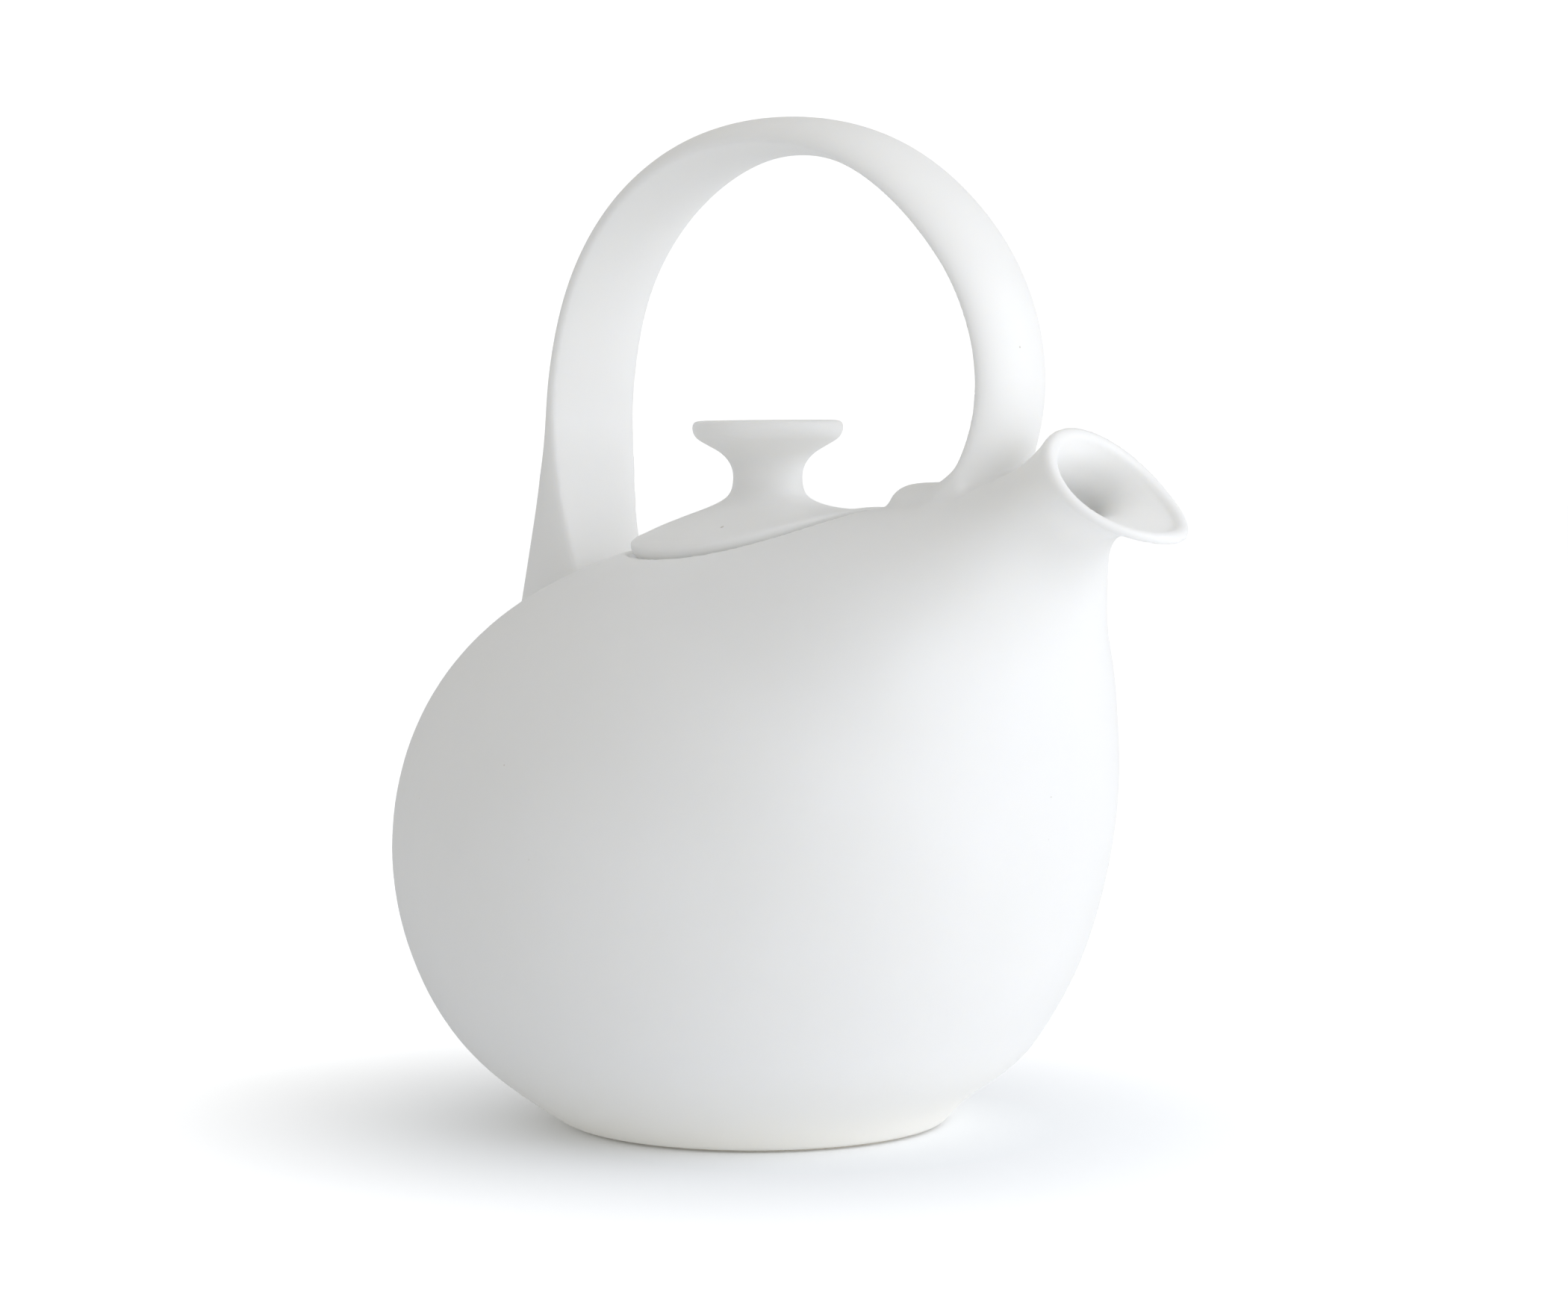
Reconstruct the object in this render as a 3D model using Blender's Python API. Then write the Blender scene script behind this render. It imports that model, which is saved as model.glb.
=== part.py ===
"""Ceramic coffee pot with an overhead strap handle, a flared pouring lip and a loose lid with a spool knob.

The spout points along +X, the pot is symmetric about the XZ plane and it stands on z = 0.
Lengths are in millimetres until new_object turns them into metres. X is measured from near the foot's
middle in the tables, and new_object moves it to the middle of the overall length.
Run with: blender --background --python part.py
"""

import math

import bmesh
import bpy
import numpy as np

MM = 0.001
GAP = 0.3  # space between touching pieces
CENTRE_X = 14.3  # middle of the overall length

# Vessel: plane sections that hold the Y direction, from the foot to the pouring lip.
# (back x, back z, front x, front z, half width, extra width to the front, sag of the two sides)
SECTIONS = (
    (-40.3, 0.0, 42.4, 0.0, 41.6, 0.0, 0.0),
    (-60.0, 14.0, 47.8, 6.1, 55.0, 0.0, 0.0),
    (-74.3, 34.5, 58.0, 13.7, 67.0, 0.0, 0.0),
    (-79.4, 58.5, 65.3, 23.2, 74.8, 0.0, 0.0),
    (-76.0, 82.5, 71.2, 34.0, 77.7, 0.0, 0.0),
    (-66.3, 101.0, 75.2, 46.0, 77.0, 0.02, 0.0),
    (-51.2, 114.8, 77.8, 58.0, 73.0, 0.05, 0.0),
    (-30.0, 124.6, 78.9, 70.0, 65.8, 0.10, 0.0),
    (-6.0, 130.2, 79.7, 82.0, 55.6, 0.14, 0.0),
    (22.0, 133.4, 80.3, 94.0, 45.0, 0.12, 0.0),
    (46.0, 136.8, 81.7, 105.0, 32.9, 0.07, 0.0),
    (64.0, 140.8, 84.4, 115.5, 23.2, 0.0, 0.0),
    (74.0, 144.6, 86.8, 124.0, 18.4, -0.08, 0.3),
    (79.2, 148.2, 92.2, 129.6, 17.3, -0.15, 1.3),
    (82.0, 152.1, 107.4, 128.7, 19.2, -0.13, 2.7),
)
# (row number, wall thickness): thicker where the vessel narrows into the spout
WALLS = ((0, 4.0), (9, 4.0), (10.2, 6.5), (11.2, 8.2), (12.2, 5.2), (14, 3.4))
LIP = len(SECTIONS) - 1
THROAT = 11.0  # the row where the spout is luted to the vessel
JOINT_STEP = 0.02  # rows left free on each side of that seam
AROUND = 44
BODY_ROWS = 24
SPOUT_ROWS = 9

# Foot
BASE_Z = 2.8
FLOOR_Z = 8.0
FOOT_X = 1.5
FOOT_INNER_R = 35.0
FOOT_OUTER_R = 41.8
FOOT_TOP_R = 43.8
FOOT_EDGE = 0.8

# Lid seat
LID_X = 4.2
OPENING_R = 30.0
GALLERY_INNER_R = 25.2
GALLERY_OUTER_R = 29.7
GALLERY_H = 3.0

# Lid
LID_R = 29.4
LID_Z = 131.6
LID_RISE = 0.075  # upward slope of the rim towards the spout
LID_DROP = 0.0062  # how fast the rim falls to its two sides, per mm
PLATE_T = 3.0
PAD_R = 8.8
# (radius, height above the rim's level) of the plate's top
PLATE_LIFT = ((PAD_R, 5.7), (10.4, 4.7), (12.6, 3.8), (16.0, 2.9), (20.5, 2.0), (25.0, 1.1), (28.0, 0.4))
PLATE_EDGE = 1.1
FLANGE_INNER_R = 21.2
FLANGE_OUTER_R = 24.2
FLANGE_END_Z = 119.0
KNOB_PROFILE = (
    (8.5, 137.9),
    (7.8, 139.5),
    (7.6, 141.3),
    (7.9, 143.4),
    (9.2, 145.7),
    (11.6, 147.7),
    (14.3, 149.2),
    (16.0, 150.3),
    (16.5, 151.6),
    (16.4, 152.9),
    (15.7, 153.5),
)
KNOB_AROUND = 32

# Handle strap: points of its centre line, from the back root over the top to the front root.
# (x, z, half width, thickness outwards, thickness inwards)
STRAP = (
    (-36.0, 98.0, 11.6, 34.5, 3.0),
    (-40.0, 112.0, 11.4, 28.5, 3.0),
    (-44.2, 126.0, 11.5, 18.9, 3.0),
    (-46.6, 140.0, 12.7, 10.6, 3.3),
    (-47.6, 154.0, 13.3, 5.7, 3.8),
    (-46.7, 166.0, 13.4, 4.3, 4.1),
    (-41.8, 183.5, 13.1, 4.1, 4.1),
    (-29.4, 200.8, 13.3, 4.1, 4.1),
    (-10.5, 212.2, 13.2, 4.1, 4.1),
    (11.5, 215.2, 12.8, 4.1, 4.1),
    (33.3, 210.6, 12.8, 4.1, 4.1),
    (51.6, 198.2, 12.6, 4.1, 4.1),
    (64.4, 181.0, 11.6, 4.1, 4.1),
    (69.0, 162.0, 10.9, 4.1, 4.1),
    (65.6, 146.0, 11.0, 4.6, 4.6),
    (58.0, 132.0, 13.0, 6.0, 6.0),
)
STRAP_ROWS = 42
STRAP_AROUND = 16

# Raised stop in front of the lid, at the handle's front root, in the same columns
HOOD = (
    (40.0, 133.6, 4.4, 4.0, 4.0),
    (43.0, 134.2, 8.0, 5.8, 5.8),
    (47.5, 134.8, 10.8, 6.0, 6.0),
    (55.0, 136.0, 12.6, 5.4, 5.4),
    (64.0, 138.8, 13.0, 5.0, 5.0),
)
HOOD_ROWS = 12
HOOD_AROUND = 20


def spline(knots, rows, at):
    """Natural cubic spline through the rows, read at the given knot values."""
    knots = np.asarray(knots, float)
    rows = np.asarray(rows, float)
    count = len(knots)
    step = np.diff(knots)
    system = np.eye(count)
    right = np.zeros_like(rows)
    for i in range(1, count - 1):
        system[i, i - 1] = step[i - 1]
        system[i, i] = 2 * (step[i - 1] + step[i])
        system[i, i + 1] = step[i]
        rise = (rows[i + 1] - rows[i]) / step[i]
        run = (rows[i] - rows[i - 1]) / step[i - 1]
        right[i] = 6 * (rise - run)
    bend = np.linalg.solve(system, right)
    at = np.atleast_1d(at)
    cell = np.clip(np.searchsorted(knots, at) - 1, 0, count - 2)
    width = step[cell][:, None]
    left = ((knots[cell + 1] - at)[:, None]) / width
    ahead = 1 - left
    curve = left * rows[cell] + ahead * rows[cell + 1]
    lift = (left**3 - left) * bend[cell] + (ahead**3 - ahead) * bend[cell + 1]
    return curve + lift * width**2 / 6


def section_knots():
    """Arc positions of the section rows, from how far their two ends travel."""
    rows = np.array(SECTIONS)
    back = np.hypot(*np.diff(rows[:, 0:2], axis=0).T)
    front = np.hypot(*np.diff(rows[:, 2:4], axis=0).T)
    return np.concatenate([[0], np.cumsum((back + front) / 2)])


def sections_at(index):
    """Interpolated section rows at fractional row numbers."""
    knots = section_knots()
    at = np.interp(index, np.arange(len(knots)), knots)
    return spline(knots, SECTIONS, at)


def section_ring(row, inset):
    """One closed section of the vessel, pulled in by inset, starting at its front point."""
    back = row[0:2]
    front = row[2:4]
    half_width, fullness, sag = row[4:7]
    centre = (back + front) / 2
    length = np.hypot(*(front - back)) / 2
    along = (front - back) / (2 * length)
    angle = np.linspace(0, 2 * math.pi, AROUND, endpoint=False)
    reach = (length - inset) * np.cos(angle)
    side = (half_width - inset) * np.sin(angle) * (1 + fullness * np.cos(angle))
    x = centre[0] + along[0] * reach
    z = centre[1] + along[1] * reach - sag * np.sin(angle) ** 2
    return np.stack([x, side, z], axis=1)


def wall_at(index):
    """Wall thickness at fractional row numbers."""
    return np.interp(index, *np.transpose(WALLS))


def skin_rings(first, last, rows, inset):
    """Sections of the vessel between two row numbers; inset is one value or one for each ring."""
    found = sections_at(np.linspace(first, last, rows))
    insets = np.broadcast_to(inset, rows)
    return [section_ring(row, by) for row, by in zip(found, insets)]


def outer_rings(grow):
    """The whole vessel from foot to lip, with the same rings as its two pieces, grown by a little."""
    shell = skin_rings(0, THROAT - JOINT_STEP, BODY_ROWS, -grow)
    return shell + skin_rings(THROAT + JOINT_STEP, LIP, SPOUT_ROWS, -grow)


def strap_rings(rows, count, around, grow=0.0):
    """Lens-shaped sections swept along a centre line in the XZ plane."""
    found = spline(np.arange(len(rows)), rows, np.linspace(0, len(rows) - 1, count))
    step = np.gradient(found[:, 0:2], axis=0)
    step /= np.linalg.norm(step, axis=1)[:, None]
    angle = np.linspace(0, 2 * math.pi, around, endpoint=False)
    rings = []
    for (x, z, half, outside, inside), (dx, dz) in zip(found, step):
        across = (half + grow) * np.cos(angle)
        thick = np.where(np.sin(angle) > 0, outside + grow, inside + grow) * np.sin(angle)
        rings.append(np.stack([x - dz * thick, across, z + dx * thick], axis=1))
    return rings


def circle(radius, z, around, centre_x):
    """A ring of points; z is one height or one for each point."""
    angle = np.linspace(0, 2 * math.pi, around, endpoint=False)
    heights = np.broadcast_to(z, around)
    return np.stack([centre_x + radius * np.cos(angle), radius * np.sin(angle), heights], axis=1)


def band_faces(first, second, around):
    """Quads between two rings of points, given the index of each ring's first point."""
    ahead = [(j + 1) % around for j in range(around)]
    return [(first + j, first + k, second + k, second + j) for j, k in enumerate(ahead)]


def capped(rings):
    """Stacked rings with a face over each end."""
    around = len(rings[0])
    faces = [tuple(range(around))]
    for i in range(len(rings) - 1):
        faces += band_faces(i * around, (i + 1) * around, around)
    last = (len(rings) - 1) * around
    faces.append(tuple(range(last, last + around)))
    return np.concatenate(rings), faces


def looped(rings):
    """Rings joined one after another and back to the first, as on a hollow ring or tube."""
    around = len(rings[0])
    faces = []
    for i in range(len(rings)):
        faces += band_faces(i * around, (i + 1) % len(rings) * around, around)
    return np.concatenate(rings), faces


def new_object(name, shape, material=None, parent=None):
    """A closed mesh facing out. Without a material it is a helper for cutting, left out of the render."""
    points, faces = shape
    home = np.array((CENTRE_X, 0, 0))
    if parent is not None:
        home = home + np.array(parent.location) / MM
    mesh = bpy.data.meshes.new(name)
    mesh.from_pydata(((points - home) * MM).tolist(), [], faces)
    work = bmesh.new()
    work.from_mesh(mesh)
    bmesh.ops.triangulate(work, faces=[face for face in work.faces if len(face.verts) > 4])
    bmesh.ops.recalc_face_normals(work, faces=work.faces)
    work.to_mesh(mesh)
    work.free()
    made = bpy.data.objects.new(name, mesh)
    made.parent = parent
    bpy.context.scene.collection.objects.link(made)
    if material is None:
        made.hide_render = True
        made.display_type = "WIRE"
        return made
    mesh.materials.append(material)
    mesh.shade_smooth()
    mesh.set_sharp_from_angle(angle=math.radians(40))
    return made


def cut(target, *cutters):
    for cutter in cutters:
        modifier = target.modifiers.new("cut_" + cutter.name, "BOOLEAN")
        modifier.operation = "DIFFERENCE"
        modifier.solver = "EXACT"
        modifier.object = cutter


def ceramic(name, colour, roughness):
    material = bpy.data.materials.new(name)
    material.use_nodes = True
    shader = material.node_tree.nodes["Principled BSDF"]
    shader.inputs["Base Color"].default_value = (*colour, 1)
    shader.inputs["Roughness"].default_value = roughness
    shader.inputs["Metallic"].default_value = 0.0
    return material


def slab(name, top):
    """A helper block that fills everything under a height."""
    reach = 100.0
    depth = 60.0
    corners = [(-reach, -reach), (reach, -reach), (reach, reach), (-reach, reach)]
    rings = [np.array([(x, y, z) for x, y in corners]) for z in (top - depth, top)]
    return new_object(name, capped(rings))


def lid_height(radius, around, lift):
    """Heights of the lid's top around one radius: level at the knob, and following the vessel at the rim."""
    angle = np.linspace(0, 2 * math.pi, around, endpoint=False)
    share = np.clip((radius - PAD_R) / (LID_R - PAD_R), 0, 1)
    slope = LID_RISE * radius * np.cos(angle) - LID_DROP * (radius * np.sin(angle)) ** 2
    return LID_Z + lift + share * slope


def lid_ring(radius, lift, centre_x=LID_X):
    return circle(radius, lid_height(radius, AROUND, lift), AROUND, centre_x)


def make_body_shell(material, opening, base):
    seam = THROAT - JOINT_STEP
    shell = new_object("body_shell", capped(skin_rings(0, seam, BODY_ROWS, 0)), material)
    low, high = 0.2, THROAT + 1
    walls = wall_at(np.linspace(low, high, BODY_ROWS))
    hollow = new_object("vessel_hollow", capped(skin_rings(low, high, BODY_ROWS, walls)))
    cut(hollow, slab("below_floor", FLOOR_Z))
    cut(shell, hollow, opening, base)


def make_spout(material):
    seam = THROAT + JOINT_STEP
    outer = skin_rings(seam, LIP, SPOUT_ROWS, 0)
    walls = wall_at(np.linspace(seam, LIP, SPOUT_ROWS))
    inner = skin_rings(seam, LIP, SPOUT_ROWS, walls)[::-1]
    row = np.array(SECTIONS[-1])
    out = np.array([row[3] - row[1], 0, row[0] - row[2]])
    out = -out / np.linalg.norm(out)
    middle = (outer[-1] + inner[0]) / 2
    reach = outer[-1] - middle
    bulge = np.linalg.norm(reach, axis=1)[:, None] * out
    rim = [middle + reach * math.cos(a) + bulge * math.sin(a) for a in np.radians((45, 90, 135))]
    new_object("spout", looped(outer + rim + inner), material)


def make_handle(material, keep_out):
    strap = new_object("handle", capped(strap_rings(STRAP, STRAP_ROWS, STRAP_AROUND)), material)
    cut(strap, keep_out)


def make_lid_hood(material, keep_out):
    hood = new_object("lid_hood", capped(strap_rings(HOOD, HOOD_ROWS, HOOD_AROUND)), material)
    around_strap = new_object("around_strap", capped(strap_rings(STRAP, STRAP_ROWS, STRAP_AROUND, GAP)))
    cut(hood, keep_out, around_strap)


def make_lid_gallery(material):
    top = -PLATE_T - GAP
    corners = (
        (GALLERY_INNER_R, top),
        (GALLERY_OUTER_R, top),
        (GALLERY_OUTER_R, top - GALLERY_H),
        (GALLERY_INNER_R, top - GALLERY_H),
    )
    new_object("lid_gallery", looped([lid_ring(radius, lift) for radius, lift in corners]), material)


def make_foot_ring(material):
    top = BASE_Z - GAP
    profile = (
        (FOOT_INNER_R, top),
        (FOOT_TOP_R, top),
        (FOOT_OUTER_R + FOOT_EDGE / 2, FOOT_EDGE),
        (FOOT_OUTER_R - FOOT_EDGE, 0.0),
        (FOOT_INNER_R + FOOT_EDGE, 0.0),
        (FOOT_INNER_R, FOOT_EDGE),
    )
    new_object("foot_ring", looped([circle(r, z, AROUND, FOOT_X) for r, z in profile]), material)


def make_lid_plate(material, axis):
    top = [lid_ring(radius, lift) for radius, lift in PLATE_LIFT]
    under = -PLATE_T
    side = [
        lid_ring(LID_R - PLATE_EDGE * 0.3, -PLATE_EDGE * 0.3),
        lid_ring(LID_R, -PLATE_EDGE),
        lid_ring(LID_R, under + PLATE_EDGE / 2),
        lid_ring(LID_R - PLATE_EDGE / 2, under),
        lid_ring(FLANGE_OUTER_R, under),
        lid_ring(FLANGE_INNER_R, under),
        lid_ring(PAD_R, under),
    ]
    new_object("lid_plate", capped(top + side), material, axis)


def make_lid_knob(material, axis):
    rings = [circle(radius, z, KNOB_AROUND, LID_X) for radius, z in KNOB_PROFILE]
    new_object("lid_knob", capped(rings), material, axis)


def make_lid_flange(material, axis):
    top = -PLATE_T - GAP
    rings = [
        lid_ring(FLANGE_INNER_R, top),
        lid_ring(FLANGE_OUTER_R, top),
        circle(FLANGE_OUTER_R, FLANGE_END_Z, AROUND, LID_X),
        circle(FLANGE_INNER_R, FLANGE_END_Z, AROUND, LID_X),
    ]
    new_object("lid_flange", looped(rings), material, axis)


def main():
    for old in list(bpy.data.objects):
        bpy.data.objects.remove(old)
    white_glaze = ceramic("white_glaze", (0.84, 0.84, 0.82), 0.42)
    bare_clay = ceramic("bare_clay", (0.80, 0.77, 0.70), 0.8)
    opening_rings = [circle(OPENING_R, z, AROUND, LID_X) for z in (100.0, 170.0)]
    opening = new_object("lid_opening", capped(opening_rings))
    base = slab("below_base", BASE_Z)
    keep_out = new_object("around_vessel", capped(outer_rings(GAP)))
    make_body_shell(white_glaze, opening, base)
    make_spout(white_glaze)
    make_handle(white_glaze, keep_out)
    make_lid_hood(white_glaze, keep_out)
    make_lid_gallery(white_glaze)
    make_foot_ring(bare_clay)
    lid_axis = bpy.data.objects.new("lid_axis", None)
    lid_axis.location = ((LID_X - CENTRE_X) * MM, 0, LID_Z * MM)
    bpy.context.scene.collection.objects.link(lid_axis)
    make_lid_plate(white_glaze, lid_axis)
    make_lid_knob(white_glaze, lid_axis)
    make_lid_flange(white_glaze, lid_axis)


main()
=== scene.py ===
"""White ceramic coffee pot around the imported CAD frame: a seamless glazed pot, a loose lid and a bare foot.

The shape tables follow the CAD model's, in millimetres, with X measured from near the foot's middle.
The pot is built as distances to its solids on a grid, so that they can be joined with fillets.
"""

import math

import bpy
import numpy as np
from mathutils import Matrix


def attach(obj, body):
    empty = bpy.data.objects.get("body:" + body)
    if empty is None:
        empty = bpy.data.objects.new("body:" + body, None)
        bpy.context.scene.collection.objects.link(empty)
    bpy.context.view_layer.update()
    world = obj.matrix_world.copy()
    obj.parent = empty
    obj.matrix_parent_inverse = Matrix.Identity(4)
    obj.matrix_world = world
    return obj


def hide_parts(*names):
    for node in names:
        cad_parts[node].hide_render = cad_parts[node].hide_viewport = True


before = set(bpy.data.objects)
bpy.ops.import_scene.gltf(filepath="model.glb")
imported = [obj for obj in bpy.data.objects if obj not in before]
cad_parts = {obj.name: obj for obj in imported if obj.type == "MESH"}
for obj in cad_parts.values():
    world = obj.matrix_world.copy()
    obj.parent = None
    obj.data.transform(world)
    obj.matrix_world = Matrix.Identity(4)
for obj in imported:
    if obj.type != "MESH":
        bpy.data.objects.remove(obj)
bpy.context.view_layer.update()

import openvdb

MM = 0.001
CENTRE_X = 14.3

# ---------------------------------------------------------------- camera
CAMERA_AZIMUTH = 38.0
CAMERA_DISTANCE = 850.0
CAMERA_HEIGHT = 153.5
CAMERA_PITCH = 3.45
CAMERA_YAW = -0.463
CAMERA_LENS = 89.06

# ---------------------------------------------------------------- light
ROOM_LOW = 0.53
ROOM_HIGH = 0.65
ROOM_SEEN = 1.1
KEY_AZIMUTH = 68
KEY_ELEVATION = 22
KEY_REACH = 1.9
KEY_AIM_Z = 0.08
KEY_SIZE = (2.6, 1.3)
KEY_POWER = 19.6
KEY_COLOUR = (0.905, 0.935, 1.0)
ROOM_COLOUR = (1.0, 0.995, 0.972)
FLOOR_COLOUR = (0.96, 0.975, 1.0)
FLOOR_BOUNCE = 0.9
FLOOR_SEEN = 1.03  # how bright the camera sees the floor
FLOOR_GLOW = 0.23  # light that the floor adds on the key's side, out of the camera's sight
GLOW_SPAN = (-0.14, 0.14)  # metres towards the key, from no glow to all of it
FLOOR_FAR_GLOW = 0.42  # light that makes the far floor white to the camera
FAR_SPAN = (0.055, 0.15)  # metres from the middle, from none to all of it
FLOOR_HALF = 6.0  # metres

# ---------------------------------------------------------------- vessel
# (back x, back z, front x, front z, half width, extra width to the front, sag of the two sides)
SECTIONS = (
    (-40.3, 0.0, 42.4, 0.0, 41.6, 0.0, 0.0),
    (-60.0, 14.0, 47.4, 6.1, 54.8, 0.0, 0.0),
    (-74.3, 34.5, 58.0, 13.7, 67.0, 0.0, 0.0),
    (-79.4, 58.5, 65.3, 23.2, 74.8, 0.0, 0.0),
    (-76.0, 82.5, 71.2, 34.0, 77.7, 0.0, 0.0),
    (-66.3, 101.0, 75.2, 46.0, 77.0, 0.02, 0.0),
    (-51.2, 114.8, 77.8, 58.0, 73.0, 0.05, 0.0),
    (-30.0, 124.6, 78.9, 70.0, 65.8, 0.10, 0.0),
    (-6.0, 130.2, 79.7, 82.0, 55.6, 0.14, 0.0),
    (22.0, 133.4, 80.3, 94.0, 45.0, 0.12, 0.0),
    (46.0, 136.8, 81.7, 105.0, 32.9, 0.07, 0.0),
    (64.0, 140.8, 84.4, 115.5, 23.2, 0.0, 0.0),
    (74.0, 144.6, 86.8, 124.0, 18.4, -0.08, 0.3),
    (79.2, 148.2, 92.2, 129.6, 17.3, -0.15, 1.3),
    (82.0, 151.8, 107.3, 128.7, 19.2, -0.13, 2.7),
)
# (row number, wall thickness): thicker where the vessel narrows into the spout
WALLS = ((0, 4.0), (9, 4.0), (10.2, 6.8), (11.2, 9.4), (12.2, 6.4), (14, 3.4))
LIP = len(SECTIONS) - 1
AROUND = 120
ROWS = 110
TURNED_AROUND = 160  # points around the lid and the foot
BASE_Z = 2.6
SKIRT_Z = 0.35  # lowest glaze, just above the bare foot
FOOT_X = 1.5
FOOT_R = 39.6
FLOOR_Z = 8.0

# ---------------------------------------------------------------- strap, hood, lid
# (x, z, half width, thickness outwards, thickness inwards)
STRAP = (
    (-36.0, 98.0, 11.6, 34.5, 3.0),
    (-40.0, 112.0, 11.4, 28.5, 3.0),
    (-44.2, 126.0, 11.5, 18.9, 3.0),
    (-46.6, 140.0, 12.7, 10.6, 3.3),
    (-47.6, 154.0, 13.3, 5.7, 3.8),
    (-46.7, 166.0, 13.4, 4.3, 4.1),
    (-41.8, 183.5, 13.1, 4.1, 4.1),
    (-29.4, 200.8, 13.3, 4.1, 4.1),
    (-10.5, 212.2, 13.2, 4.1, 4.1),
    (11.5, 215.2, 12.8, 4.1, 4.1),
    (33.3, 210.6, 12.8, 4.1, 4.1),
    (51.6, 198.2, 12.6, 4.1, 4.1),
    (64.4, 181.0, 11.6, 4.1, 4.1),
    (69.0, 162.0, 10.9, 4.1, 4.1),
    (65.6, 146.0, 11.0, 4.6, 4.6),
    (58.0, 132.0, 13.0, 6.0, 6.0),
)
HOOD = (
    (40.0, 133.6, 4.4, 4.0, 4.0),
    (43.0, 134.2, 8.0, 5.8, 5.8),
    (47.5, 134.8, 10.8, 6.0, 6.0),
    (55.0, 136.0, 12.6, 5.4, 5.4),
    (64.0, 138.8, 13.0, 5.0, 5.0),
)
LID_X = 4.2
OPENING_R = 30.7
OPENING_LOW_Z = 105.0
OPENING_HIGH_Z = 170.0
LEDGE_INNER_R = 25.2
LEDGE_OUTER_R = 33.8  # inside the wall, so that the ledge and the wall are one
LEDGE_H = 3.0
LID_R = 29.4
LID_EDGE_R = 29.95
LID_Z = 131.6
LID_RISE = 0.11
LID_DROP = 0.0058
PLATE_T = 3.0
PAD_R = 8.8
KNOB_BASE = 6.0  # above the rim's level
KNOB_NECK = 12.0  # likewise
FLANGE_INNER_R = 21.2
FLANGE_OUTER_R = 24.2
FLANGE_END_Z = 119.0
FIT = 0.3
KNOB_TILT = 0.01  # hand-made lean of the knob's top
STRAP_KEEN = 1.4
STRAP_LEAN = 1.5  # how far the strap's two edges sit towards its inner side
STRAP_STEPS = (180, 96)  # along and around
HOOD_STEPS = (50, 48)
STRAP_ROUND = 0.7  # radius of the strap's two edges
STRAP_SPREAD = 0.9  # extra half width that makes up for the keener edge

# ---------------------------------------------------------------- fillets and rounded edges
FLOOR_ROUND = 6.0
HOOD_FILLET = 1.6
ROOT_FILLET = ((-45.0, -30.0, 50.0, 58.0, 68.0), (2.4, 3.0, 5.0, 5.0, 2.4))  # X, fillet there
SKIRT_ROUND = 1.4
RECESS_ROUND = 0.6  # edge of the recess that holds the bare foot
FOOT_GAP = 0.2
LEDGE_ROUND = 0.8
OPENING_ROUND = 0.9
WALL_ROUND = 1.0


def spline(knots, rows, at):
    """Natural cubic spline through the rows, read at the given knot values."""
    knots = np.asarray(knots, float)
    rows = np.asarray(rows, float)
    count = len(knots)
    step = np.diff(knots)
    system = np.eye(count)
    right = np.zeros_like(rows)
    for i in range(1, count - 1):
        system[i, i - 1] = step[i - 1]
        system[i, i] = 2 * (step[i - 1] + step[i])
        system[i, i + 1] = step[i]
        rise = (rows[i + 1] - rows[i]) / step[i]
        run = (rows[i] - rows[i - 1]) / step[i - 1]
        right[i] = 6 * (rise - run)
    bend = np.linalg.solve(system, right)
    at = np.atleast_1d(at)
    cell = np.clip(np.searchsorted(knots, at) - 1, 0, count - 2)
    width = step[cell][:, None]
    left = ((knots[cell + 1] - at)[:, None]) / width
    ahead = 1 - left
    curve = left * rows[cell] + ahead * rows[cell + 1]
    lift = (left**3 - left) * bend[cell] + (ahead**3 - ahead) * bend[cell + 1]
    return curve + lift * width**2 / 6


def section_knots():
    """Arc positions of the section rows, from how far their two ends travel."""
    rows = np.array(SECTIONS)
    back = np.hypot(*np.diff(rows[:, 0:2], axis=0).T)
    front = np.hypot(*np.diff(rows[:, 2:4], axis=0).T)
    return np.concatenate([[0], np.cumsum((back + front) / 2)])


def sections_at(index):
    """Interpolated section rows at fractional row numbers."""
    knots = section_knots()
    at = np.interp(index, np.arange(len(knots)), knots)
    return spline(knots, SECTIONS, at)


def section_ring(row, inset):
    """One closed section of the vessel, pulled in by inset."""
    back = row[0:2]
    front = row[2:4]
    half_width, fullness, sag = row[4:7]
    centre = (back + front) / 2
    length = np.hypot(*(front - back)) / 2
    along = (front - back) / (2 * length)
    angle = np.linspace(0, 2 * math.pi, AROUND, endpoint=False)
    reach = (length - inset) * np.cos(angle)
    side = (half_width - inset) * np.sin(angle) * (1 + fullness * np.cos(angle))
    x = centre[0] + along[0] * reach
    z = centre[1] + along[1] * reach - sag * np.sin(angle) ** 2
    return np.stack([x, side, z], axis=1)


def strap_rings(rows, count, around, keen=1.0, spread=0.0, slim=0.0, lean=0.0):
    """Sections swept along a centre line in the XZ plane.

    Keen over 1 draws a thin ellipse towards a lens, spread widens it, slim thins it, and lean moves its
    two edges towards its inner side.
    """
    found = spline(np.arange(len(rows)), rows, np.linspace(0, len(rows) - 1, count))
    step = np.gradient(found[:, 0:2], axis=0)
    step /= np.linalg.norm(step, axis=1)[:, None]
    angle = np.linspace(0, 2 * math.pi, around, endpoint=False)
    rings = []
    for (x, z, half, outside, inside), (dx, dz) in zip(found, step):
        across = (half + spread) * np.cos(angle)
        reach = np.where(np.sin(angle) > 0, outside - slim, inside - slim)
        power = np.interp(reach, (4.0, 9.0), (keen, 1.0))
        thick = reach * np.sign(np.sin(angle)) * np.abs(np.sin(angle)) ** power
        thick -= lean * (1 - np.abs(np.sin(angle)))
        rings.append(np.stack([x - dz * thick, across, z + dx * thick], axis=1))
    return rings


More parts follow.
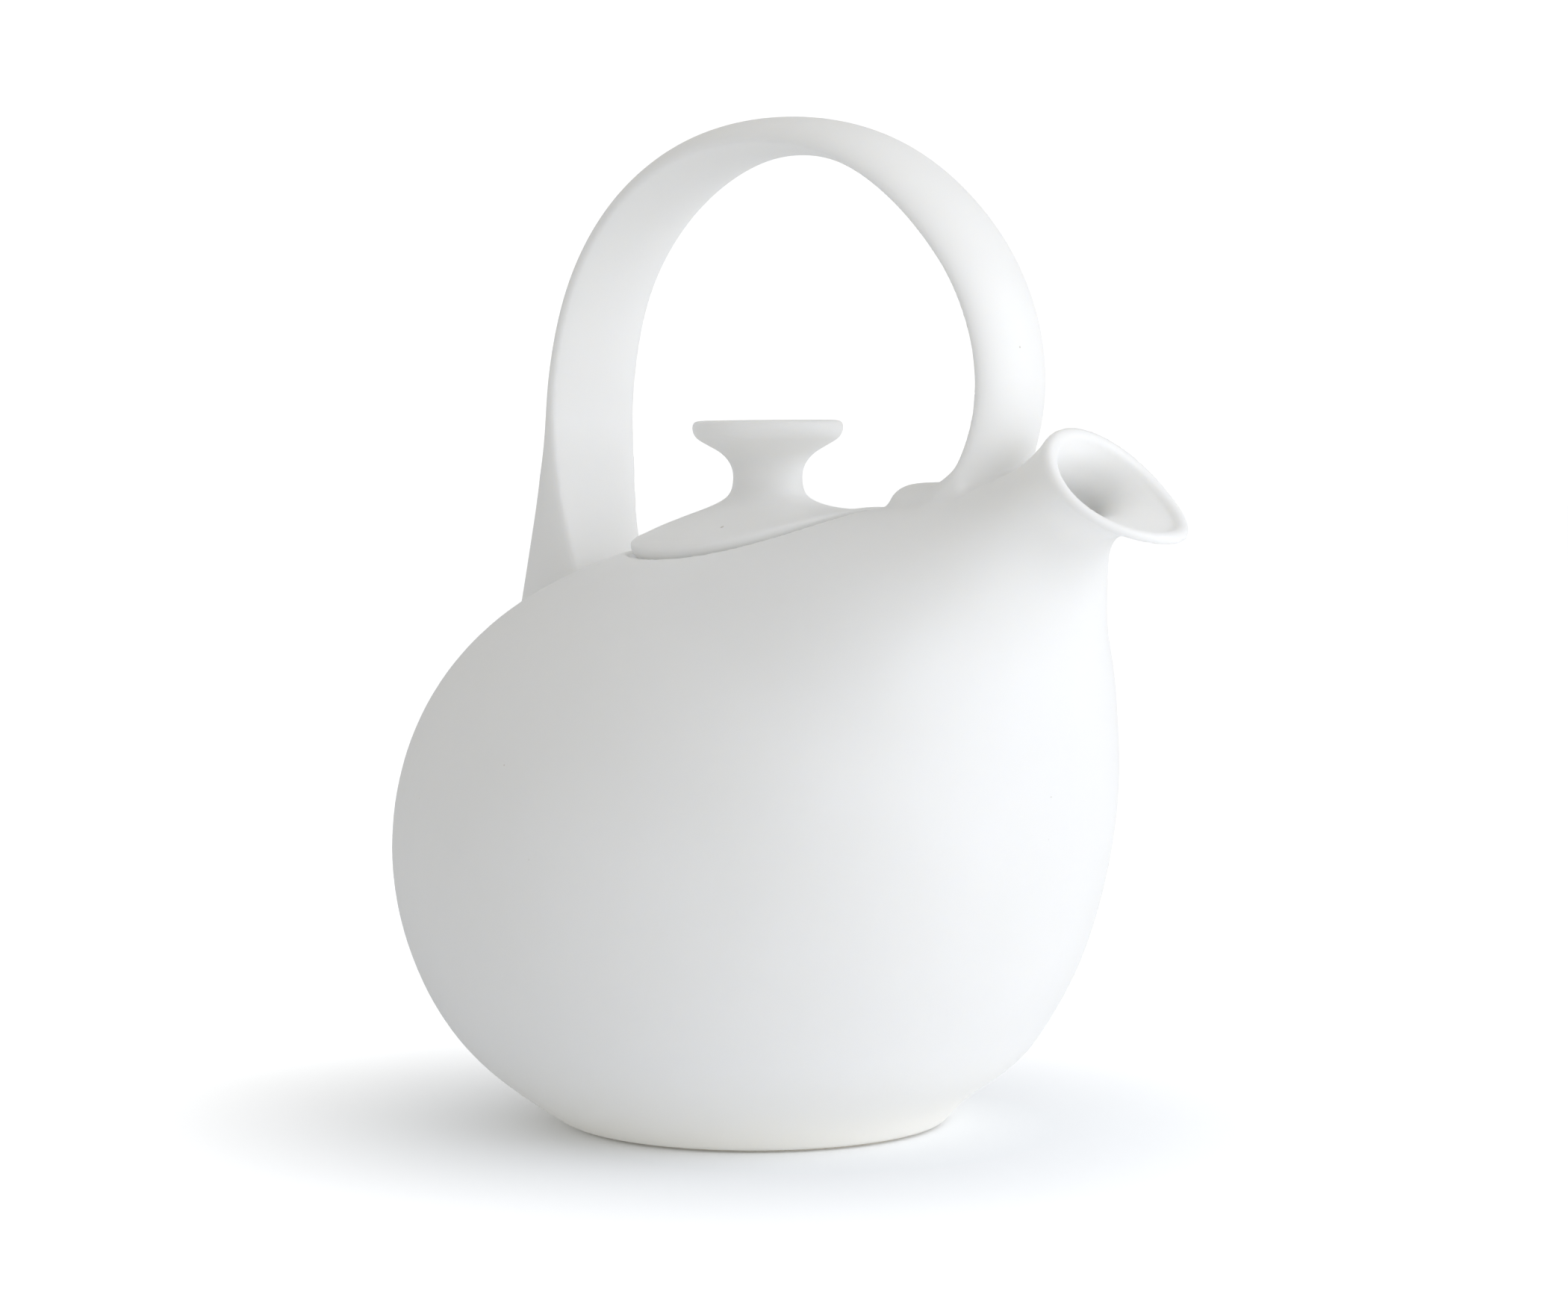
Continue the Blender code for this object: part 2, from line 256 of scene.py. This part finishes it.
def band_faces(first, second, around):
    ahead = [(j + 1) % around for j in range(around)]
    return [(first + j, first + k, second + k, second + j) for j, k in enumerate(ahead)]


def closed_loft(rings):
    """Triangles and quads of stacked rings, with a fan from the middle of each end."""
    around = len(rings[0])
    quads = []
    for i in range(len(rings) - 1):
        quads += band_faces(i * around, (i + 1) * around, around)
    last = (len(rings) - 1) * around
    points = np.concatenate([*rings, [rings[0].mean(axis=0)], [rings[-1].mean(axis=0)]])
    low, high = len(points) - 2, len(points) - 1
    fans = []
    for j in range(around):
        k = (j + 1) % around
        fans += [(k, j, low), (last + j, last + k, high)]
    return points, fans, quads


# ---------------------------------------------------------------- solid field on a grid
VOXEL = 0.75
BAND = 12.0  # how far the distances reach from a surface
GRID_LOW = np.array((-100.0, -84.0, -6.0))
GRID_HIGH = np.array((116.0, 84.0, 226.0))
FIRST = np.floor(GRID_LOW / VOXEL).astype(int)
COUNT = np.ceil((GRID_HIGH - GRID_LOW) / VOXEL).astype(int)


def distance(rings):
    """Signed distance to a lofted solid on the grid, negative inside, limited to the band."""
    points, fans, quads = closed_loft(rings)
    grid = openvdb.FloatGrid.createLevelSetFromPolygons(
        points.astype(np.float32),
        triangles=np.array(fans, np.uint32),
        quads=np.array(quads, np.uint32),
        transform=openvdb.createLinearTransform(VOXEL),
        halfWidth=BAND / VOXEL,
    )
    values = np.full(COUNT, BAND, np.float32)
    grid.copyToArray(values, ijk=tuple(int(i) for i in FIRST))
    return values


def axes_of_grid():
    """The grid's X, Y and Z positions, shaped so that they combine into the whole grid."""
    x, y, z = [((FIRST[i] + np.arange(COUNT[i])) * VOXEL).astype(np.float32) for i in range(3)]
    return x[:, None, None], y[None, :, None], z[None, None, :]


def join(a, b, blend):
    """Union of two solids with a fillet."""
    near = np.clip(0.5 + 0.5 * (b - a) / blend, 0, 1)
    return b + (a - b) * near - blend * near * (1 - near)


def meet(a, b, blend):
    """Intersection of two solids with a rounded edge."""
    return -join(-a, -b, blend)


def read_field(field, points):
    """The field between the grid's points."""
    at = points / VOXEL - FIRST
    cell = np.clip(np.floor(at).astype(int), 0, COUNT - 2)
    part = (at - cell).astype(np.float32)
    total = np.zeros(len(points), np.float32)
    for corner in range(8):
        shift = np.array([corner & 1, corner >> 1 & 1, corner >> 2])
        weight = np.prod(np.where(shift, part, 1 - part), axis=1)
        total += weight * field[tuple((cell + shift).T)]
    return total


def surface(field):
    """Points, faces and normals of the field's zero surface."""
    grid = openvdb.FloatGrid(BAND)
    grid.copyFromArray(field, ijk=tuple(int(i) for i in FIRST))
    grid.transform = openvdb.createLinearTransform(VOXEL)
    points, quads = grid.convertToQuads(0.0)
    points = points.astype(float)
    normals = np.zeros_like(points)
    for axis in range(3):
        ahead = np.zeros(3)
        ahead[axis] = VOXEL
        normals[:, axis] = read_field(field, points + ahead) - read_field(field, points - ahead)
    for _ in range(2):
        off = read_field(field, points)
        slope = np.linalg.norm(normals, axis=1) / (2 * VOXEL)
        move = np.clip(off / np.maximum(slope, 0.3), -0.2, 0.2)
        move /= np.maximum(slope * 2 * VOXEL, 1e-6)
        points = points - normals * move[:, None]
    normals /= np.linalg.norm(normals, axis=1)[:, None]
    return points, quads, normals


def lid_height(x, y, radius, lift):
    """Height of the lid's top: level at the knob and following the vessel at the rim."""
    share = np.clip((radius - PAD_R) / (LID_R - PAD_R), 0, 1) * np.clip(KNOB_BASE - lift, 0, 1)
    return LID_Z + lift + share * (LID_RISE * x - LID_DROP * y**2)


def pot_field():
    """The fired pot as one solid: vessel, lip, strap and hood, hollow inside, with the lid's seat."""
    index = np.linspace(0, LIP, ROWS)
    rows = sections_at(index)
    walls = np.interp(index, *np.transpose(WALLS))
    outer = [section_ring(row, 0) for row in rows]
    inner = [section_ring(row, wall) for row, wall in zip(rows, walls)]
    last = np.array(SECTIONS[-1])
    out = np.array([last[3] - last[1], 0, last[0] - last[2]])
    out = -out / np.linalg.norm(out)
    middle = (outer[-1] + inner[-1]) / 2
    reach = outer[-1] - middle
    bulge = np.linalg.norm(reach, axis=1)[:, None] * out
    quarter = np.radians((15, 30, 45, 60, 75, 90))
    outside = [middle + reach * math.cos(a) + bulge * math.sin(a) for a in quarter]
    inside = [middle - reach * math.cos(a) + bulge * math.sin(a) for a in quarter]
    beyond = [middle + bulge + out * 4.0]
    vessel = distance(outer + outside)
    hollow = distance(inner[2:] + inside + beyond)
    x, y, z = axes_of_grid()
    hollow = meet(hollow, FLOOR_Z - z, FLOOR_ROUND)
    spread = STRAP_SPREAD - STRAP_ROUND
    strap = strap_rings(STRAP, *STRAP_STEPS, STRAP_KEEN, spread, STRAP_ROUND, STRAP_LEAN)
    strap = distance(strap) - STRAP_ROUND
    hood = distance(strap_rings(HOOD, *HOOD_STEPS))
    root_fillet = np.interp(x, *ROOT_FILLET).astype(np.float32)
    solid = join(join(vessel, hood, HOOD_FILLET), strap, root_fillet)
    from_foot = np.hypot(x - FOOT_X, y)
    solid = meet(solid, SKIRT_Z - z, SKIRT_ROUND)
    solid = meet(solid, -np.maximum(from_foot - FOOT_R - FOOT_GAP, z - BASE_Z), RECESS_ROUND)
    from_lid = np.hypot(x - LID_X, y)
    seat = lid_height(x - LID_X, y, from_lid, -PLATE_T - FIT - LEDGE_H / 2)
    ledge_r = (LEDGE_INNER_R + LEDGE_OUTER_R) / 2
    across = np.abs(from_lid - ledge_r) - (LEDGE_OUTER_R - ledge_r)
    ledge = meet(np.abs(z - seat) - LEDGE_H / 2, across, LEDGE_ROUND)
    wall = meet(solid, -hollow, WALL_ROUND)
    bore = np.maximum(from_lid - OPENING_R, np.maximum(OPENING_LOW_Z - z, z - OPENING_HIGH_Z))
    wall = meet(wall, -bore, OPENING_ROUND)
    return join(wall, ledge, LEDGE_ROUND).astype(np.float32)


def new_piece(name, points, faces, body, nodes, slot, material, normals=None):
    """A visible piece in the row frame, riding on its body and standing for its CAD nodes."""
    mesh = bpy.data.meshes.new(name)
    placed = (points - np.array((CENTRE_X, 0, 0))) * MM
    mesh.from_pydata(placed.tolist(), [], faces)
    piece = bpy.data.objects.new(name, mesh)
    bpy.context.scene.collection.objects.link(piece)
    mesh.materials.append(material)
    mesh.shade_smooth()
    if normals is not None:
        mesh.normals_split_custom_set_from_vertices(normals.tolist())
    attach(piece, body)
    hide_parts(*nodes)
    return piece


def signed_volume(points, faces):
    """Positive when the faces look out."""
    a, b, c = (points[faces[:, i]] for i in range(3))
    return np.einsum("ij,ij->i", a, np.cross(b, c)).sum()


# ---------------------------------------------------------------- lid
# (radius, height) from the middle of the knob's flat top down to its foot
KNOB_PROFILE = (
    (0.6, 153.85),
    (6.0, 153.85),
    (12.0, 153.85),
    (15.2, 153.8),
    (16.1, 153.45),
    (16.45, 152.6),
    (16.35, 151.5),
    (15.8, 150.4),
    (14.3, 149.2),
    (12.0, 147.9),
    (9.8, 146.4),
    (8.35, 144.6),
    (7.65, 142.6),
    (7.6, 140.8),
    (7.9, 139.0),
    (8.7, 137.5),
)
# (radius, height above the rim's level) of the plate's top and its outer edge
PLATE_PROFILE = (
    (10.4, 4.7),
    (12.6, 3.8),
    (16.0, 2.9),
    (20.5, 2.0),
    (25.0, 1.25),
    (28.0, 0.8),
    (29.3, 0.6),
    (29.85, 0.2),
    (29.9, -0.5),
    (29.5, -1.8),
    (28.6, -PLATE_T),
)


def lid_shape():
    """The lid as rings around its axis, from the knob's top to the underside, as one closed piece."""
    profile = np.array([(radius, z - LID_Z) for radius, z in KNOB_PROFILE] + list(PLATE_PROFILE))
    steps = np.concatenate([[0], np.cumsum(np.hypot(*np.diff(profile, axis=0).T))])
    fine = spline(steps, profile, np.linspace(0, steps[-1], 150))
    fine[:, 0] = np.clip(fine[:, 0], 0.5, LID_EDGE_R)
    under = [(FLANGE_OUTER_R + 1.2, -PLATE_T, None), (FLANGE_OUTER_R, -PLATE_T - 0.8, None)]
    under += [(FLANGE_OUTER_R, 0, FLANGE_END_Z + 0.6), (FLANGE_OUTER_R - 0.6, 0, FLANGE_END_Z)]
    under += [(FLANGE_INNER_R + 0.6, 0, FLANGE_END_Z), (FLANGE_INNER_R, 0, FLANGE_END_Z + 0.6)]
    under += [(FLANGE_INNER_R, -PLATE_T - 0.8, None), (FLANGE_INNER_R - 1.0, -PLATE_T, None)]
    under += [(12.0, -PLATE_T, None), (0.5, -PLATE_T, None)]
    angle = np.linspace(0, 2 * math.pi, TURNED_AROUND, endpoint=False)
    rings = []
    for radius, lift, level in [(*row, None) for row in fine] + under:
        x = radius * np.cos(angle)
        y = radius * np.sin(angle)
        z = lid_height(x, y, radius, lift) if level is None else np.full(TURNED_AROUND, level)
        z = z + KNOB_TILT * x * np.clip((lift - KNOB_NECK) / 6.0, 0, 1)
        rings.append(np.stack([LID_X + x, y, z], axis=1))
    points, fans, quads = closed_loft(rings)
    return points, fans + quads


def foot_shape():
    """The bare ring that the pot stands on."""
    profile = (
        (35.2, BASE_Z - 0.1),
        (FOOT_R, BASE_Z - 0.1),
        (FOOT_R, 0.6),
        (FOOT_R - 0.2, 0.2),
        (FOOT_R - 0.7, 0.0),
        (36.0, 0.0),
        (35.3, 0.3),
        (35.0, 0.9),
    )
    angle = np.linspace(0, 2 * math.pi, TURNED_AROUND, endpoint=False)
    rings = []
    for radius, z in profile:
        x = FOOT_X + radius * np.cos(angle)
        rings.append(np.stack([x, radius * np.sin(angle), np.full(TURNED_AROUND, z)], axis=1))
    faces = []
    for i in range(len(rings)):
        after = (i + 1) % len(rings)
        faces += band_faces(i * TURNED_AROUND, after * TURNED_AROUND, TURNED_AROUND)
    return np.concatenate(rings), faces


# ---------------------------------------------------------------- materials
def nodes_of(material):
    material.use_nodes = True
    tree = material.node_tree
    return tree, tree.nodes["Principled BSDF"]


def noise(tree, where, scale, detail=2.0, roughness=0.5):
    node = tree.nodes.new("ShaderNodeTexNoise")
    node.inputs["Scale"].default_value = scale
    node.inputs["Detail"].default_value = detail
    node.inputs["Roughness"].default_value = roughness
    tree.links.new(where, node.inputs["Vector"])
    return node.outputs["Fac"]


def ramp(tree, value, low, high, low_out=0.0, high_out=1.0):
    node = tree.nodes.new("ShaderNodeMapRange")
    node.inputs["From Min"].default_value = low
    node.inputs["From Max"].default_value = high
    node.inputs["To Min"].default_value = low_out
    node.inputs["To Max"].default_value = high_out
    tree.links.new(value, node.inputs["Value"])
    return node.outputs["Result"]


def mix(tree, factor, first, second):
    """Colour mix; first and second are colours or sockets."""
    node = tree.nodes.new("ShaderNodeMix")
    node.data_type = "RGBA"
    tree.links.new(factor, node.inputs["Factor"])
    for value, socket in ((first, node.inputs["A"]), (second, node.inputs["B"])):
        if isinstance(value, tuple):
            socket.default_value = (*value, 1)
        else:
            tree.links.new(value, socket)
    return node.outputs["Result"]


def mix_value(tree, factor, first, second):
    """First where the factor is 0 and the number second where it is 1."""
    node = tree.nodes.new("ShaderNodeMix")
    tree.links.new(factor, node.inputs["Factor"])
    tree.links.new(first, node.inputs["A"])
    node.inputs["B"].default_value = second
    return node.outputs["Result"]


def make_glaze():
    """Satin-matte white glaze: a faint mottle, rare pin specks, painted warm bounce light towards the bottom
    and a barely uneven surface.
    """
    material = bpy.data.materials.new("white_glaze")
    tree, shader = nodes_of(material)
    where = tree.nodes.new("ShaderNodeTexCoord").outputs["Object"]
    split = tree.nodes.new("ShaderNodeSeparateXYZ")
    tree.links.new(where, split.inputs["Vector"])
    mottle = ramp(tree, noise(tree, where, 26.0, 3.0), 0.35, 0.65)
    colour = mix(tree, mottle, (0.890, 0.890, 0.880), (0.908, 0.908, 0.900))
    # A warmer tint over the lowest 22 mm: painted warm bounce light from the floor.
    low = ramp(tree, split.outputs["Z"], 0.022, 0.001)
    colour = mix(tree, low, colour, (0.885, 0.868, 0.82))
    specks = ramp(tree, noise(tree, where, 560.0, 0.0), 0.93, 0.945)
    colour = mix(tree, specks, colour, (0.64, 0.61, 0.57))
    tree.links.new(colour, shader.inputs["Base Color"])
    sheen = ramp(tree, noise(tree, where, 60.0, 2.0), 0.3, 0.7, 0.40, 0.48)
    tree.links.new(sheen, shader.inputs["Roughness"])
    shader.inputs["Specular IOR Level"].default_value = 0.42
    shader.inputs["Subsurface Weight"].default_value = 0.5
    shader.inputs["Subsurface Radius"].default_value = (1.0, 0.95, 0.85)
    shader.inputs["Subsurface Scale"].default_value = 0.004
    heights = tree.nodes.new("ShaderNodeMath")
    heights.operation = "MULTIPLY_ADD"
    tree.links.new(noise(tree, where, 900.0, 2.0), heights.inputs[0])
    heights.inputs[1].default_value = 0.05
    tree.links.new(noise(tree, where, 45.0, 2.0), heights.inputs[2])
    bump = tree.nodes.new("ShaderNodeBump")
    bump.inputs["Strength"].default_value = 0.22
    bump.inputs["Distance"].default_value = 0.0006
    tree.links.new(heights.outputs["Value"], bump.inputs["Height"])
    tree.links.new(bump.outputs["Normal"], shader.inputs["Normal"])
    return material


def make_clay():
    """Bare fired clay: warm off-white with a fine grain."""
    material = bpy.data.materials.new("bare_clay")
    tree, shader = nodes_of(material)
    where = tree.nodes.new("ShaderNodeTexCoord").outputs["Object"]
    grain = ramp(tree, noise(tree, where, 700.0, 4.0, 0.7), 0.3, 0.7)
    colour = mix(tree, grain, (0.70, 0.665, 0.60), (0.80, 0.775, 0.71))
    tree.links.new(colour, shader.inputs["Base Color"])
    shader.inputs["Roughness"].default_value = 0.85
    bump = tree.nodes.new("ShaderNodeBump")
    bump.inputs["Strength"].default_value = 0.4
    bump.inputs["Distance"].default_value = 0.0003
    tree.links.new(grain, bump.inputs["Height"])
    tree.links.new(bump.outputs["Normal"], shader.inputs["Normal"])
    return material


# ---------------------------------------------------------------- studio
def make_camera():
    data = bpy.data.cameras.new("camera")
    data.lens = CAMERA_LENS
    data.sensor_width = 36.0
    data.clip_end = 20.0
    camera = bpy.data.objects.new("camera", data)
    azimuth = math.radians(CAMERA_AZIMUTH)
    camera.location = (
        (CAMERA_DISTANCE * math.sin(azimuth) - CENTRE_X) * MM,
        -CAMERA_DISTANCE * math.cos(azimuth) * MM,
        CAMERA_HEIGHT * MM,
    )
    camera.rotation_euler = (
        math.radians(90 - CAMERA_PITCH),
        0,
        math.radians(CAMERA_AZIMUTH + CAMERA_YAW),
    )
    bpy.context.scene.collection.objects.link(camera)
    bpy.context.scene.camera = camera


def make_key():
    """The soft box; its azimuth is measured from the camera's, towards +X."""
    data = bpy.data.lights.new("key", "AREA")
    data.shape = "RECTANGLE"
    data.size, data.size_y = KEY_SIZE
    data.energy = KEY_POWER
    data.color = KEY_COLOUR
    light = bpy.data.objects.new("key", data)
    azimuth = math.radians(CAMERA_AZIMUTH + KEY_AZIMUTH)
    elevation = math.radians(KEY_ELEVATION)
    flat = KEY_REACH * math.cos(elevation)
    height = KEY_AIM_Z + KEY_REACH * math.sin(elevation)
    light.location = (flat * math.sin(azimuth), -flat * math.cos(azimuth), height)
    light.rotation_euler = (math.radians(90) - elevation, 0, azimuth)
    bpy.context.scene.collection.objects.link(light)


def make_room():
    """An even white room, brighter to the camera than to the pot."""
    world = bpy.data.worlds.new("studio")
    bpy.context.scene.world = world
    world.use_nodes = True
    tree = world.node_tree
    way = tree.nodes.new("ShaderNodeSeparateXYZ")
    tree.links.new(tree.nodes.new("ShaderNodeTexCoord").outputs["Generated"], way.inputs["Vector"])
    room = ramp(tree, way.outputs["Z"], 0.0, 1.0, ROOM_LOW, ROOM_HIGH)
    seen = tree.nodes.new("ShaderNodeLightPath").outputs["Is Camera Ray"]
    background = tree.nodes["Background"]
    tree.links.new(mix_value(tree, seen, room, ROOM_SEEN), background.inputs["Strength"])
    tint = mix(tree, seen, ROOM_COLOUR, (1.0, 1.0, 1.0))
    tree.links.new(tint, background.inputs["Color"])


def vector_math(tree, operation, vector):
    node = tree.nodes.new("ShaderNodeVectorMath")
    node.operation = operation
    if isinstance(vector, tuple):
        node.inputs[0].default_value = vector
    else:
        tree.links.new(vector, node.inputs[0])
    return node


def make_floor_white():
    """White paper that takes the pot's shadow and glows white away from it."""
    material = bpy.data.materials.new("floor_white")
    tree, shader = nodes_of(material)
    tree.nodes.remove(shader)
    seen = tree.nodes.new("ShaderNodeLightPath").outputs["Is Camera Ray"]
    paper = tree.nodes.new("ShaderNodeBsdfDiffuse")
    bright = ramp(tree, seen, 0.0, 1.0, FLOOR_BOUNCE, FLOOR_SEEN)
    tint = vector_math(tree, "SCALE", FLOOR_COLOUR)
    tree.links.new(bright, tint.inputs["Scale"])
    tree.links.new(tint.outputs["Vector"], paper.inputs["Color"])
    where = tree.nodes.new("ShaderNodeTexCoord").outputs["Object"]
    away = vector_math(tree, "LENGTH", where)
    far = ramp(tree, away.outputs["Value"], *FAR_SPAN, 0.0, FLOOR_FAR_GLOW)
    side = vector_math(tree, "DOT_PRODUCT", where)
    azimuth = math.radians(CAMERA_AZIMUTH + KEY_AZIMUTH)
    side.inputs[1].default_value = (math.sin(azimuth), -math.cos(azimuth), 0)
    bounce = ramp(tree, side.outputs["Value"], *GLOW_SPAN, 0.0, FLOOR_GLOW)
    strength = tree.nodes.new("ShaderNodeMix")
    tree.links.new(seen, strength.inputs["Factor"])
    tree.links.new(bounce, strength.inputs["A"])
    tree.links.new(far, strength.inputs["B"])
    glow = tree.nodes.new("ShaderNodeEmission")
    tree.links.new(strength.outputs["Result"], glow.inputs["Strength"])
    both = tree.nodes.new("ShaderNodeAddShader")
    tree.links.new(paper.outputs["BSDF"], both.inputs[0])
    tree.links.new(glow.outputs["Emission"], both.inputs[1])
    tree.links.new(both.outputs["Shader"], tree.nodes["Material Output"].inputs["Surface"])
    return material


def make_floor():
    mesh = bpy.data.meshes.new("floor")
    half = FLOOR_HALF
    corners = [(-half, -half, 0), (half, -half, 0), (half, half, 0), (-half, half, 0)]
    mesh.from_pydata(corners, [], [(0, 1, 2, 3)])
    floor = bpy.data.objects.new("floor", mesh)
    bpy.context.scene.collection.objects.link(floor)
    mesh.materials.append(make_floor_white())


def make_studio():
    make_room()
    make_key()
    make_floor()
    scene = bpy.context.scene
    scene.view_settings.view_transform = "Standard"
    scene.cycles.diffuse_bounces = 10


def main():
    make_camera()
    glaze = make_glaze()
    clay = make_clay()
    points, quads, normals = surface(pot_field())
    quads = quads.astype(int)
    if signed_volume(points, quads) < 0:
        quads = quads[:, ::-1]
    quads = [tuple(quad) for quad in quads.tolist()]
    pot_nodes = ("body_shell", "spout", "handle", "lid_gallery", "lid_hood")
    new_piece("pot", points, quads, "pot", pot_nodes, "white_glaze", glaze, normals)
    new_piece("lid", *lid_shape(), "lid", ("lid_plate", "lid_knob", "lid_flange"), "white_glaze", glaze)
    new_piece("foot", *foot_shape(), "pot", ("foot_ring",), "bare_clay", clay)
    make_studio()


main()
